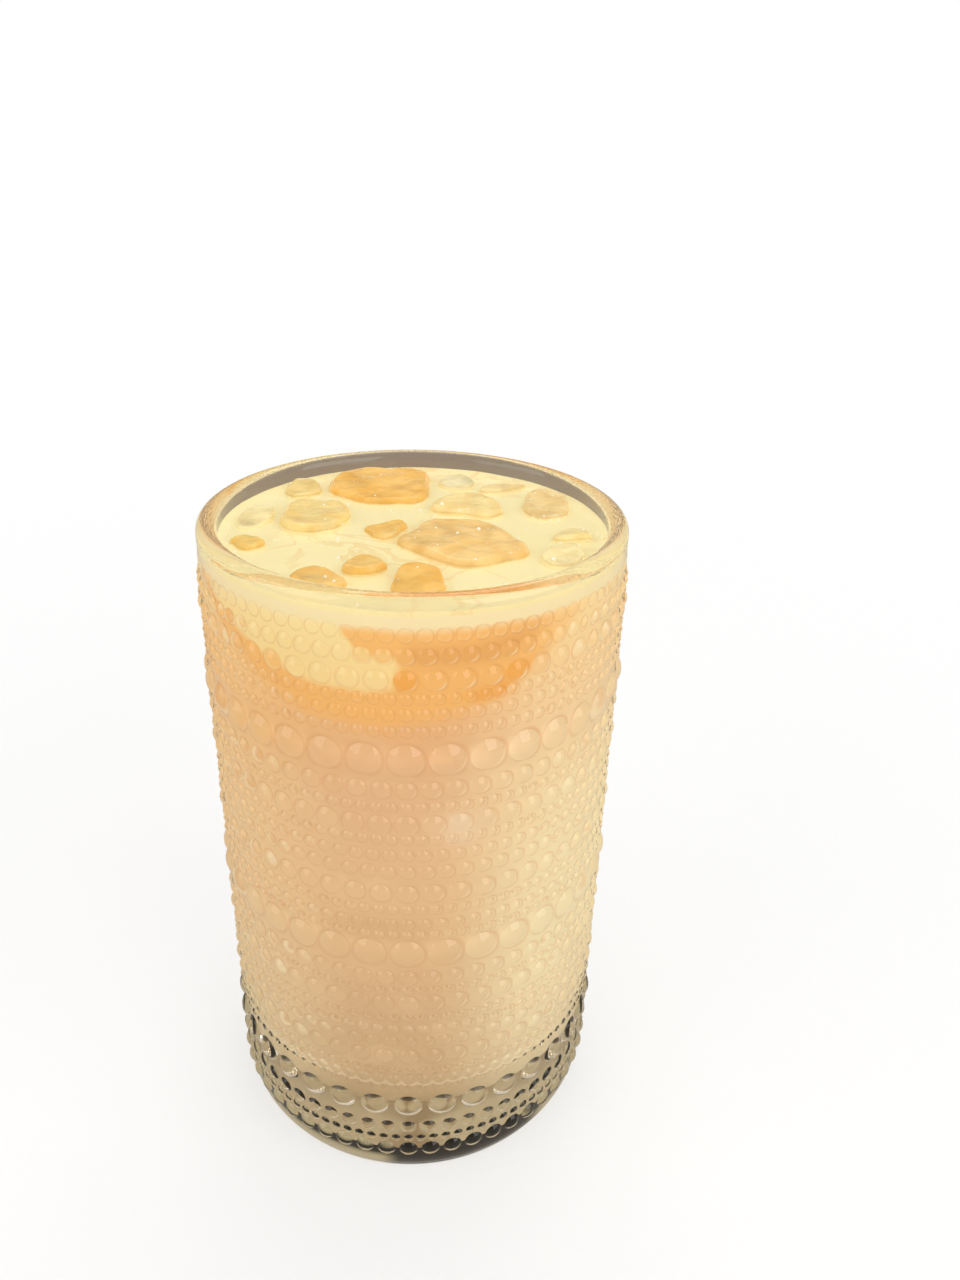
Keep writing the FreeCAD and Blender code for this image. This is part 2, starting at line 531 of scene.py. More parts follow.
def finishFoot(shell, sizes, bottomRing, points):
    # the wall turning in to the foot, its rounded edge and the shallow hollow under it
    angles = ringAngles(sizes, bottomRing, points)
    inset, height, edge = sizes["footInset"], sizes["footHeight"], sizes["footEdge"]
    big = (inset**2 + height**2) / (2 * inset)
    profile = []
    for share in sizes["footRings"]:
        down = (height - edge) * share
        profile.append((sizes["wallRadius"] - big + math.sqrt(big**2 - down**2), height - down))
    footRadius = sizes["wallRadius"] - inset
    profile += arcPoints((footRadius - edge, edge), edge, *sizes["footEdgeArc"])
    reach, depth = sizes["hollowRadius"], sizes["hollowDepth"]
    dome = (reach**2 + depth**2) / (2 * depth)
    for share in sizes["hollowRings"]:
        profile.append((reach * share, depth - dome + math.sqrt(dome**2 - (reach * share) ** 2)))
    rings = [bottomRing] + [shell.ring(r, angles, z) for r, z in profile]
    shell.lathe(rings, shell.point(0, 0, depth))


def innerRadius(sizes, height):
    low, high = sizes["baseThickness"], sizes["height"] - sizes["rimWall"] / 2
    share = (height - low) / (high - low)
    wall = sizes["baseWall"] + (sizes["rimWall"] - sizes["baseWall"]) * share
    return sizes["wallRadius"] - wall


def clearGlass():
    finish = Finish("clearGlass")
    clean, smeared = pressedGlass["roughness"]
    smear = finish.step(finish.noise(45.0, 3.0), *pressedGlass["smears"])
    shader = finish.principled(
        baseColor=pressedGlass["tint"],
        roughness=smear * (smeared - clean) + clean,
        ior=pressedGlass["ior"],
        transmissionWeight=1.0,
    )
    return finish.show(shader)


glassPiece = pieceFrom(
    "beadedGlass", beadedGlass(pressedGlass), clearGlass(), ["glass"]
)
print("glass made,", len(glassPiece.data.polygons), "faces")


drink = {
    # each layer reaches just into the glass, so that no air shows between, a lower one a little less
    "intoWall": (0.25, 0.22, 0.19),
    "around": 160,  # steps
    "creamThickness": 4.6,
    "teaThickness": 15.5,
    "overlap": 0.1,  # of a layer into the one below
    "meniscus": 0.5,
    "meniscusReach": 1.1,
    "ripple": (0.16, 0.12),  # waves to a millimetre, and their height
    "wallAt": 100.0,  # the height whose radius places the layers' edges at the wall
    # swirls that sink: x and y as shares of the drink's radius, depth and spread
    "creamSwirls": [(-0.62, -0.78, 8.5, 9.0), (-0.98, -0.15, 4.5, 8.0), (0.15, -1.0, 1.4, 7.0)],
    "teaSwirls": [(0.35, -0.95, 3.0, 12.0), (-0.7, 0.5, -3.5, 14.0), (0.8, 0.3, 2.5, 10.0)],
    "topRings": [3, 6, 9, 12, 15, 18, 21, 24, 27, 29.5, 31.5, 33, 34],
    "innerRings": [10, 20, 28, 33],
    "sideRings": (0.2, 0.4, 0.6, 0.8, 1.0),  # shares of a layer's thickness
    "floorRings": (9.0, 18.0),
    "filletSteps": 10,
    "crispFrom": 50,  # edges that bend more than this stay crisp
}
drinkRadius = innerRadius(pressedGlass, drinkLevel)


def sunk(mean, swirls):
    # the height of a wavy layer surface at x and y
    def height(x, y):
        total = mean
        for shareX, shareY, depth, spread in swirls:
            away = math.hypot(x - shareX * drinkRadius, y - shareY * drinkRadius)
            total -= depth * math.exp(-((away / spread) ** 2) / 2)
        return total

    return height


def drinkTop(x, y):
    # flat, with slow ripples and a small rise where it wets the wall
    toWall = max(0.0, drinkRadius - math.hypot(x, y))
    waves, rise = drink["ripple"]
    ripple = noise.noise(Vector((x, y, 3.1)) * waves) * rise
    return drinkLevel + ripple + drink["meniscus"] * math.exp(-toWall / drink["meniscusReach"])


def layerShell(upper, lower, into, floor=False):
    # a closed layer of the drink between two height functions, or down to the glass's floor
    shell = Shell()
    steps = drink["around"]
    angles = [2 * math.pi * k / steps for k in range(steps)]
    wall = innerRadius(pressedGlass, drink["wallAt"]) + into

    def wallRing(height):
        made = []
        for angle in angles:
            x, y = wall * math.sin(angle), -wall * math.cos(angle)
            z = height(x, y)
            made.append(shell.point(innerRadius(pressedGlass, z) + into, angle, z))
        return made

    def between(share):
        return lambda x, y: lower(x, y) + (upper(x, y) - lower(x, y)) * share

    if floor:
        fillet = pressedGlass["floorFillet"]
        level = pressedGlass["baseThickness"]
        centre = (pressedGlass["wallRadius"] - pressedGlass["baseWall"] - fillet, level + fillet)
        profile = [(radius, level - into) for radius in drink["floorRings"]]
        profile += arcPoints(centre, fillet + into, -90, 0, drink["filletSteps"])
        bottomTip = shell.point(0, 0, level - into)
        rings = [shell.ring(r, angles, z) for r, z in profile]
    else:
        bottomTip = shell.point(0, 0, lower(0, 0))
        rings = [shell.ring(r, angles, lower) for r in drink["innerRings"]]
        rings.append(wallRing(lower))
    shell.fan(rings[0], bottomTip)
    rings += [wallRing(between(share)) for share in drink["sideRings"]]
    topRings = drink["topRings"] if upper is drinkTop else drink["innerRings"]
    rings += [shell.ring(r, angles, upper) for r in reversed(topRings)]
    shell.lathe(rings, shell.point(0, 0, upper(0, 0)))
    return shell


drinkLook = {
    # colours up the side, by height: at the left, in the middle and at the right. They hold the drink's
    # own tones, with painted light making the right paler and painted shade making the middle darker, and
    # all of them darker towards the bottom
    "left": [
        (12, (206, 180, 136)), (17, (212, 186, 140)), (26, (226, 196, 147)),
        (40, (234, 200, 151)), (60, (240, 200, 148)), (85, (243, 201, 143)),
        (100, (246, 192, 128)), (112, (252, 200, 130)), (122, (254, 220, 152)),
    ],
    "middle": [
        (12, (152, 124, 86)), (17, (182, 152, 108)), (26, (204, 166, 122)),
        (40, (212, 172, 128)), (60, (228, 184, 134)), (85, (232, 184, 136)),
        (98, (232, 180, 130)), (106, (236, 176, 120)), (122, (246, 188, 116)),
    ],
    "right": [
        (12, (216, 192, 148)), (17, (218, 194, 148)), (26, (238, 212, 164)),
        (40, (248, 226, 176)), (60, (250, 229, 179)), (85, (250, 225, 173)),
        (100, (248, 211, 158)), (112, (251, 211, 150)), (122, (253, 216, 148)),
    ],
    "rampTop": 130.0,  # the height that the end of a ramp stands for
    "towardsLeft": (-0.15, -0.85),  # where the middle runs into a side, as x over the radius
    "towardsRight": (0.1, 0.76),
    "mottle": (250, 214, 160),
    "mottling": (0.45, 0.75, 0.22),  # the noise's levels, and the strength
    "wander": (3.0, 1.2),  # of the layers' edges, in slow waves and in quick ones
    "lowerBehind": (-6.0, 10.0, 1.5),  # the edges lie this much lower behind: from y, to y, how much
    "cream": (253, 222, 150),
    "creamCloud": (254, 220, 146),
    "creamBand": (248, 226, 170),
    "orange": (250, 182, 102),
    "shade": (230, 160, 88),
    "pocket": (250, 200, 118),
    "escaping": 0.72,  # the share of the drink's light that leaves a glass wall
    # edges that sag: the angle from the front of their lowest place, how they rise from it, its height
    "teaEdge": (-8.0, 0.0045, 104.3),
    "shadeLine": (12.0, 0.004, 117.8),
    "cloudEdge": (-12.0, 0.0038, 111.2),
    "teaSoft": (-1.8, 3.0),  # the tea fades in over this far under and over its edge
    "teaPaler": (30.0, 52.0, 0.55),  # and is paler round to the right: angles, share
    "teaStrength": 0.95,
    "shadeRound": ((-1.0, 5.0), (44.0, 30.0)),  # angles where the shade comes in and goes
    "shadeWidth": 2.2,
    "shadeStrength": 0.85,
    "cloudSoft": (-0.9, 1.3),
    "cloudEnd": (0.8, -2.6),  # angles where the cloud stops towards the right
    "cloudTop": (117.0, 124.0, -8.0, -19.0),  # its height there, and further left
    "cloudLit": (3.0, 9.0),
    "bandEdge": (120.9, 122.7),
    # brighter spots in the orange: angle from the front, height, half width, half height, strength
    "spots": [
        (1.4, 112.9, 3.2, 1.3, 0.8), (21.5, 109.8, 4.5, 1.3, 0.7), (26.5, 110.6, 3.0, 1.4, 0.8),
        (29.5, 112.9, 2.6, 1.5, 0.8), (35.0, 113.7, 3.4, 1.3, 0.6),
    ],
    "spot": (246, 160, 66),
    # slow marks lower down: angle, height, half width, half height, strength, colour
    "ghosts": [
        (16.0, 84.5, 6.0, 3.0, 0.5, (250, 226, 190)),
        (-4.0, 63.0, 20.0, 2.4, 0.35, (214, 166, 118)),
        (-6.0, 70.0, 16.0, 3.0, 0.25, (240, 202, 152)),
        (30.0, 96.0, 12.0, 6.0, 0.3, (248, 220, 172)),
    ],
    # the surface: two creams, and strands of tea in them
    "surface": ((252, 234, 171), (254, 240, 184)),
    "strand": (244, 208, 140),
    "strands": (0.0012, 0.42, 0.62, 0.5),  # their width, the noise's levels, the strength
    "surfaceRoughness": 0.16,
    "pocketWithin": (33.9, 33.3),  # radii, and heights, where the pockets' colour comes in
    "pocketAbove": (100.0, 104.0),
    "openFrom": (0.5, 0.2),  # how far under the surface the drink starts to shine
    "ior": 1.35,
}
beadLight = {
    # Painted light and shade of the beads in the drink's colour: a paler arc of painted light where the
    # beads would gather the light that falls on the drink behind them, and a darker ring of painted shade
    # at each bead's outline, a little below and beside each bead: this far down at a height, and more
    # with each millimetre below it, and this many degrees.
    "shiftDown": (1.3, 0.0115, 118.0),
    "shiftAside": 3.0,
    "outline": (1.0, 0.17, 0.30),  # radius and width as shares of the bead's, strength
    "arc": (0.80, 0.17, 0.55),
    "arcHeight": (0.25, -0.55),  # it shows below the bead's middle, in shares of its radius
    "smallBeads": (0.8, 1.7, 0.35),  # the smallest radius has this share of the arc, the second all
    "paintedShadeTone": (206, 142, 84),
    "arcTone": (255, 240, 196),
    # plainer in front, and from the sides on all round the back: angles between which, and how much
    "inFront": (42.0, 8.0, 0.4),
    "behind": (62.0, 84.0, 0.6),
    "above": 26.0,  # rows under this height stand before clear glass
    "lowestReach": 2.0,  # the lowest row's marks, so wide that they join in a wavy line
}


def underGlass(red, green, blue):
    # A wet surface behind glass sends part of its light back into itself, which darkens it. This is the
    # colour that looks like the given one from outside.
    escaping = drinkLook["escaping"]
    return tuple(c / (escaping + (1 - escaping) * c) for c in paint(red, green, blue))


def nearestRow(finish, z):
    # the beads in the row nearest to this height, the row's height and its beads' radius, read from
    # a ramp with one flat step of colour for each row
    rows = [row for row in pressedGlass["beadRows"] if row[0] > beadLight["above"]]
    scales = (100.0, drinkLook["rampTop"], 10.0)
    edges = [0.0]
    for row, following in zip(rows, rows[1:]):
        gap = (row[0] + row[2] / 2, following[0] - following[2] / 2)
        edges.append(sum(gap) / 2 / drinkLook["rampTop"])
    facts = [(count, height, across / 2) for height, count, across, _ in rows]
    facts[0] = (*facts[0][:2], beadLight["lowestReach"])
    stops = [
        (edge, tuple(value / scale for value, scale in zip(fact, scales)))
        for edge, fact in zip(edges, facts)
    ]
    steps = finish.ramp(z / drinkLook["rampTop"], stops, "CONSTANT")
    return finish.parts("ShaderNodeSeparateColor", steps, scales)


def beadMarks(finish, x, y, z):
    # how strongly the painted shade at the outline and the painted light in the lower arc of the nearest
    # bead show here
    down, growth, top = beadLight["shiftDown"]
    z = z + (top - z) * growth + down
    count, level, reach = nearestRow(finish, z)
    turn = finish.turn(x, -y)
    aside = finish.math("SINE", turn * math.radians(2.0)) * beadLight["shiftAside"]
    around = turn - aside - pressedGlass["firstBead"]
    across = finish.math("FRACT", around * count / 360.0 + 0.5) - 0.5
    across = across * (2 * math.pi * pressedGlass["wallRadius"]) / count
    up = z - level
    away = finish.math("SQRT", across * across + up * up) / reach
    fromFront = finish.math("ABSOLUTE", turn)
    shown = 1.0
    for start, end, much in (beadLight["inFront"], beadLight["behind"]):
        shown = shown - finish.step(fromFront, start, end) * much
    radius, width, strength = beadLight["outline"]
    outline = finish.hump(away, radius, width) * shown * strength
    radius, width, strength = beadLight["arc"]
    arc = finish.hump(away, radius, width) * finish.step(up / reach, *beadLight["arcHeight"])
    smallest, full, least = beadLight["smallBeads"]
    arc = arc * (finish.step(reach, smallest, full) * (1.0 - least) + least) * shown * strength
    return outline, arc


def sagging(turn, edge):
    # the height of an edge that hangs lowest at one angle
    lowestAt, rise, height = edge
    away = turn - lowestAt
    return away * away * rise + height


def marked(finish, colour, turn, height, marks):
    for middle, level, wide, tall, strength, tone in marks:
        mark = finish.hump(turn, middle, wide) * finish.hump(height, level, tall) * strength
        colour = finish.mix(mark, colour, underGlass(*tone))
    return colour


def sideTonesWithPaintedLight(finish, x, z, radius, drift):
    # the milk tea's colours up and round the side, with painted light at the right, painted shade in the
    # middle and towards the bottom, and mottling
    height = (z + drift * 5.0) / drinkLook["rampTop"]
    left, middle, right = [
        finish.ramp(height, [(h / drinkLook["rampTop"], underGlass(*c)) for h, c in drinkLook[part]])
        for part in ("left", "middle", "right")
    ]
    side = x / finish.math("MAXIMUM", radius, 1.0)  # -1 at the left, 1 at the right
    colour = finish.mix(finish.step(side, *drinkLook["towardsLeft"]), middle, left)
    colour = finish.mix(finish.step(side, *drinkLook["towardsRight"]), colour, right)
    start, end, strength = drinkLook["mottling"]
    mottle = finish.step(finish.noise(120.0, 4.0), start, end) * strength
    return finish.mix(mottle, colour, underGlass(*drinkLook["mottle"]))


def teaTones(finish, colour, turn, wavy):
    # the tea: orange from the front's left round to its right, lowest just left of the middle
    start, end, paler = drinkLook["teaPaler"]
    strength = (1.0 - finish.step(turn, start, end) * paler) * drinkLook["teaStrength"]
    rise = wavy - sagging(turn, drinkLook["teaEdge"])
    tea = finish.step(rise, *drinkLook["teaSoft"]) * strength
    colour = finish.mix(tea, colour, underGlass(*drinkLook["orange"]))
    rise = wavy - sagging(turn, drinkLook["shadeLine"])
    shade = finish.hump(rise, 0.0, drinkLook["shadeWidth"]) * drinkLook["shadeStrength"]
    for limits in drinkLook["shadeRound"]:
        shade = shade * finish.step(turn, *limits)
    colour = finish.mix(shade, colour, underGlass(*drinkLook["shade"]))
    spots = [(*spot, drinkLook["spot"]) for spot in drinkLook["spots"]]
    return marked(finish, colour, turn, wavy, spots)


def creamTones(finish, colour, turn, wavy, ruffle, z):
    # a cloud of cream sinks into the tea at the left, and a band of cream lies on top
    rise = wavy - sagging(turn, drinkLook["cloudEdge"])
    cloud = finish.step(rise, *drinkLook["cloudSoft"])
    cloud = cloud * finish.step(turn + ruffle * 9.0, *drinkLook["cloudEnd"])
    low, high, start, end = drinkLook["cloudTop"]
    top = finish.step(turn, start, end) * (high - low) + low
    cloud = cloud * finish.step(wavy - top, 1.2, -0.8)
    colour = finish.mix(cloud, colour, underGlass(*drinkLook["creamCloud"]))
    lit = finish.step(rise, *drinkLook["cloudLit"]) * cloud
    colour = finish.mix(lit, colour, underGlass(*drinkLook["cream"]))
    band = finish.step(z + ruffle * 1.2, *drinkLook["bandEdge"])
    return finish.mix(band, colour, underGlass(*drinkLook["creamBand"]))


def creamSurface(finish):
    low, high = (paint(*tone) for tone in drinkLook["surface"])
    cream = finish.mix(finish.noise(60.0, 4.0), low, high)
    strands = finish.noise(75.0, 5.0, distortion=1.2) - 0.5
    width, start, end, strength = drinkLook["strands"]
    strand = finish.step(strands * strands, width, 0.0) * finish.step(finish.noise(38.0, 2.0), start, end)
    return finish.mix(strand * strength, cream, paint(*drinkLook["strand"]))


def milkTeaFinish(name):
    # one colour field for all three layers, so that they run into each other
    finish = Finish(name)
    x, y, z = finish.axes()
    radius = finish.math("SQRT", x * x + y * y)
    turn = finish.turn(x, finish.math("ABSOLUTE", y))  # the back mirrors the front
    drift = finish.noise(55.0, 3.0) - 0.5
    ruffle = finish.noise(170.0, 3.0) - 0.5
    (slow, quick), (start, end, lower) = drinkLook["wander"], drinkLook["lowerBehind"]
    wavy = z + drift * slow + ruffle * quick + finish.step(y, start, end) * lower
    # the side's tones carry painted light at the right and painted shade in the middle and low down
    colour = sideTonesWithPaintedLight(finish, x, z, radius, drift)
    colour = marked(finish, colour, turn, wavy, drinkLook["ghosts"])
    colour = teaTones(finish, colour, turn, wavy)
    colour = creamTones(finish, colour, turn, wavy, ruffle, z)
    # painted shade at the beads' outlines and painted light in their lower arcs
    outline, arc = beadMarks(finish, x, y, z)
    paintedBeadShade = finish.mix(1.0, colour, underGlass(*beadLight["paintedShadeTone"]), "MULTIPLY")
    colour = finish.mix(outline, colour, paintedBeadShade)
    colour = finish.mix(arc, colour, underGlass(*beadLight["arcTone"]))
    # inside the wall are the pockets round the ice, and the surface is cream
    inside = finish.step(radius, *drinkLook["pocketWithin"])
    inside = inside * finish.step(z, *drinkLook["pocketAbove"])
    colour = finish.mix(inside, colour, paint(*drinkLook["pocket"]))
    # open to the air it is glossy; against the glass there is no surface to shine
    against = finish.principled(baseColor=colour, roughness=1.0, specularIORLevel=0.0)
    wet = finish.principled(
        baseColor=creamSurface(finish),
        roughness=drinkLook["surfaceRoughness"],
        ior=drinkLook["ior"],
    )
    toAir = finish.step(drinkLevel - z, *drinkLook["openFrom"])
    return finish.show(finish.blend(toAir, against, wet))


iceNodes = sorted(name for name in frame["nodes"] if name.startswith("ice_"))
ice = {
    "voxel": 0.55,
    "dents": 0.5,  # how far the melt dents move the surface
    "dentSize": 5.5,
    "grain": 0.08,
    "grainSize": 1.3,
    "crown": 0.55,  # how much further what stands out of the drink rises
    "pocketGap": 0.15,  # the drink's pockets are this much smaller, so no air shows between
    "pocketVoxel": 1.0,
    "smoothing": (0.5, 3),  # factor and rounds
    "clear": (1.0, 0.93, 0.80),
    "deeper": (-4, -13, -30),  # from a piece's main tone to its deep and its pale places
    "paler": (7, 6, -4),
    "deepToPale": (0.3, 0.7),  # the noise's levels
    "haze": (252, 218, 146),
    "hazy": (0.48, 0.72, 0.25),  # the noise's levels, and the strength
    # a painted line of shade where the cream film ends on the ice, in this tone
    "edge": (206, 156, 86),
    "edgeLine": (0.25, 0.13, 0.25),  # how far above the cream film, its width and strength
    "film": (253, 236, 176),
    "filmSoft": (0.28, -0.18),  # the film runs out between these, from its own height
    "roughness": (0.05, 0.12, 0.2),  # of clear ice, cloudy ice and the film
    "cloudy": (0.2, 0.6, 0.2, 0.78),  # the noise's levels, how much more cloud there, the least share
    "ior": 1.31,
    # a piece's main tone, and how far up the cream film lies on it
    "tones": {
        "ice_back_block": ((249, 198, 118), 0.10), "ice_middle_block": ((250, 210, 146), 0.15),
        "ice_middle_point": ((250, 208, 134), 0.15), "ice_pale_slab": ((253, 226, 168), 0.30),
        "ice_left_lump": ((252, 222, 156), 0.30), "ice_left_back_lump": ((243, 216, 152), 0.30),
        "ice_far_left_lump": ((246, 230, 180), 0.40), "ice_left_chip": ((252, 214, 138), 0.15),
        "ice_front_chip": ((249, 208, 134), 0.15), "ice_front_lump": ((248, 198, 118), 0.15),
        "ice_front_hump": ((245, 200, 126), 0.15), "ice_right_back_round": ((246, 218, 164), 0.25),
        "ice_back_sliver": ((240, 216, 164), 0.30), "ice_back_round": ((243, 230, 188), 0.40),
        "ice_right_crescent": ((251, 226, 166), 0.30), "ice_right_front_round": ((250, 232, 182), 0.40),
    },
}


def meshAfterModifiers(piece):
    bpy.context.view_layer.update()
    return bpy.data.meshes.new_from_object(piece.evaluated_get(bpy.context.evaluated_depsgraph_get()))


def iceShape(name, shrink, voxel):
    # the node's own shape, remeshed and melted a little
    source = frame["nodes"][name]
    mesh = source.data.copy()
    mesh.name = name + "_shape"
    worker = placed(name + "_shape", mesh)
    remesh = worker.modifiers.new("remesh", "REMESH")
    remesh.mode, remesh.voxel_size = "VOXEL", voxel * mm
    smooth = worker.modifiers.new("smooth", "SMOOTH")
    smooth.factor, smooth.iterations = ice["smoothing"]
    shaped = meshAfterModifiers(worker)
    bpy.data.objects.remove(worker)
    seed = Vector((sum(map(ord, name)) * 0.37, 1.7, 5.2))
    moved = []
    for vertex in shaped.vertices:
        at = vertex.co / mm
        dent = noise.noise(at / ice["dentSize"] + seed) * ice["dents"]
        grain = noise.noise(at / ice["grainSize"] + seed) * ice["grain"]
        crown = Vector((0, 0, max(0.0, at.z - drinkLevel) * ice["crown"]))
        moved.append(vertex.co + (vertex.normal * (dent + grain - shrink) + crown) * mm)
    for vertex, co in zip(shaped.vertices, moved):
        vertex.co = co
    shaped.update()
    return shaped


def cutPockets(piece, cutters):
    joined = bmesh.new()
    for mesh in cutters:
        joined.from_mesh(mesh)
    cutterMesh = bpy.data.meshes.new("pocketCutter")
    joined.to_mesh(cutterMesh)
    joined.free()
    cutter = placed("pocketCutter", cutterMesh)
    boolean = piece.modifiers.new("pockets", "BOOLEAN")
    boolean.operation, boolean.solver, boolean.object = "DIFFERENCE", "EXACT", cutter
    cut = meshAfterModifiers(piece)
    piece.modifiers.clear()
    bpy.data.objects.remove(cutter)
    build = bmesh.new()
    build.from_mesh(cut)
    shadeSmooth(build, drink["crispFrom"])
    build.to_mesh(cut)
    build.free()
    material = piece.data.materials[0]
    cut.materials.clear()
    cut.materials.append(material)
    piece.data = cut


def iceFinish(name, tone, film):
    finish = Finish(name)
    rise = finish.axes()[2] - drinkLevel
    glassy, cloudy, creamy = ice["roughness"]
    grain = finish.noise(420.0, 3.0)
    clear = finish.principled(
        baseColor=ice["clear"],
        roughness=glassy,
        ior=ice["ior"],
        transmissionWeight=1.0,
        normal=finish.bump(grain, 0.2, 0.0004),
    )
    deep = paint(*(c + change for c, change in zip(tone, ice["deeper"])))
    pale = paint(*(min(255, c + change) for c, change in zip(tone, ice["paler"])))
    body = finish.mix(finish.step(finish.noise(260.0, 4.0), *ice["deepToPale"]), deep, pale)
    start, end, strength = ice["hazy"]
    haze = finish.step(finish.noise(95.0, 3.0), start, end) * strength
    body = finish.mix(haze, body, paint(*ice["haze"]))
    # a painted line of shade where the film of cream ends
    above, width, strength = ice["edgeLine"]
    edge = finish.hump(rise + (finish.noise(150.0, 2.0) - 0.5) * 0.6, film + above, width) * strength
    body = finish.mix(edge, body, paint(*ice["edge"]))
    relief = finish.bump(finish.noise(260.0, 3.0), 0.4, 0.0006)
    cloud = finish.principled(baseColor=body, roughness=cloudy, ior=ice["ior"], normal=relief)
    start, end, more, least = ice["cloudy"]
    clouding = finish.step(finish.noise(210.0, 3.0), start, end) * more + least
    iceMix = finish.blend(clouding, clear, cloud)
    cream = finish.principled(baseColor=paint(*ice["film"]), roughness=creamy, ior=drinkLook["ior"])
    patches = finish.noise(200.0, 3.0)
    start, end = (film + soft for soft in ice["filmSoft"])
    wet = finish.step(rise + (patches - 0.5) * 0.8, start, end)
    return finish.show(finish.blend(wet, iceMix, cream))


pockets = []
for nodeName in iceNodes:
    pieceName = nodeName.replace("ice_", "iceOf_")
    material = iceFinish(pieceName, *ice["tones"][nodeName])
    pieceFrom(pieceName, iceShape(nodeName, 0.0, ice["voxel"]), material, [nodeName])
    pockets.append(iceShape(nodeName, ice["pocketGap"], ice["pocketVoxel"]))
print("ice made,", len(iceNodes), "pieces")

creamBottom = drinkLevel - drink["creamThickness"]
underCream = sunk(creamBottom, drink["creamSwirls"])
underTea = sunk(creamBottom - drink["teaThickness"], drink["teaSwirls"])
overlap = drink["overlap"]
filletTop = pressedGlass["baseThickness"] + pressedGlass["floorFillet"]
layers = {
    "creamTop": ("cream_layer", "milk_cream", drinkTop, lambda x, y: underCream(x, y) - overlap),
    "amberTea": ("tea_layer", "amber_tea", underCream, lambda x, y: underTea(x, y) - overlap),
    "milkTea": ("milk_tea", "milk_tea", underTea, lambda x, y: filletTop),
}
for into, (layerName, (nodeName, slotName, upper, lower)) in zip(drink["intoWall"], layers.items()):
    shell = layerShell(upper, lower, into, floor=layerName == "milkTea")
    mesh = meshFrom(layerName, shell, drink["crispFrom"])
    piece = pieceFrom(layerName, mesh, milkTeaFinish(layerName), [nodeName])
    if layerName != "milkTea":
        cutPockets(piece, pockets)
print("drink made")


bubbles = {
    # x, y and radius of the larger ones, set where glints show: their near-white colour is a painted
    # highlight
    "large": [
        (8.6, 30.4, 0.38), (4.4, 9.7, 0.42), (0.3, 9.8, 0.36), (11.5, -2.5, 0.40),
        (7.8, -5.1, 0.32), (26.2, 6.4, 0.34), (24.2, -14.9, 0.42), (23.9, 21.6, 0.26),
        (25.7, 17.1, 0.22), (-16.9, 28.2, 0.46), (-13.1, -6.0, 0.34), (-11.8, -14.7, 0.36),
        (-5.2, 9.1, 0.26), (-17.6, 7.6, 0.24), (-13.7, 11.9, 0.28), (-2.1, 1.6, 0.26),
        (-12.3, -25.8, 0.28), (-10.7, -27.3, 0.28), (11.2, -16.8, 0.26), (3.2, 7.0, 0.22),
    ],
    "small": 150,
    "smallRadius": (0.09, 0.22),
    "drawnTo": 34.0,  # small ones are drawn from a square this far out, and kept within a circle
    "keptTo": 33.5,
    "nearIce": (0.12, 0.5),  # they gather where the ice stands this much above the drink
    "strayShare": 0.12,  # of the rest that are kept too
    "sunk": 0.25,  # the share of its radius that a bubble's middle lies below the surface
    "seed": 11,
    # near-white: the foam's own pale colour on the small ones, painted glints on the larger ones
    "tones": ((255, 246, 216), (255, 252, 240)),
    "finish": {"roughness": 0.06, "ior": 1.33},
}


def topAt(x, y, pieces):
    # the highest surface at this place, as seen from above
    start, down = Vector((x, y, 200.0)) * mm, Vector((0, 0, -1))
    hits = [piece.ray_cast(start, down) for piece in pieces]
    return max(hit[1].z / mm for hit in hits if hit[0])


def bubblePlaces(pieces):
    chance = random.Random(bubbles["seed"])
    far, (least, most) = bubbles["drawnTo"], bubbles["nearIce"]
    places = [(x, y, topAt(x, y, pieces), radius) for x, y, radius in bubbles["large"]]
    while len(places) < len(bubbles["large"]) + bubbles["small"]:
        x, y = chance.uniform(-far, far), chance.uniform(-far, far)
        radius, stray = chance.uniform(*bubbles["smallRadius"]), chance.random()
        if math.hypot(x, y) > bubbles["keptTo"]:
            continue
        z = topAt(x, y, pieces)
        if least < z - drinkLevel < most or stray < bubbles["strayShare"]:
            places.append((x, y, z, radius))
    return places


def makeBubbles(pieces):
    build = bmesh.new()
    for x, y, z, radius in bubblePlaces(pieces):
        at = Matrix.Translation(Vector((x, y, z - radius * bubbles["sunk"])) * mm)
        bmesh.ops.create_icosphere(build, subdivisions=2, radius=radius * mm, matrix=at)
    shadeSmooth(build)
    mesh = bpy.data.meshes.new("milkBubblesAndGlints")
    build.to_mesh(mesh)
    build.free()
    finish = Finish("milkBubblesAndGlints")
    tone = finish.mix(finish.noise(500.0), *(paint(*tone) for tone in bubbles["tones"]))
    shader = finish.principled(baseColor=tone, **bubbles["finish"])
    pieceFrom("milkBubblesAndGlints", mesh, finish.show(shader))


bpy.context.view_layer.update()
makeBubbles([o for o in scene.objects if o.name.startswith("iceOf_") or o.name == "creamTop"])
print("bubbles made")


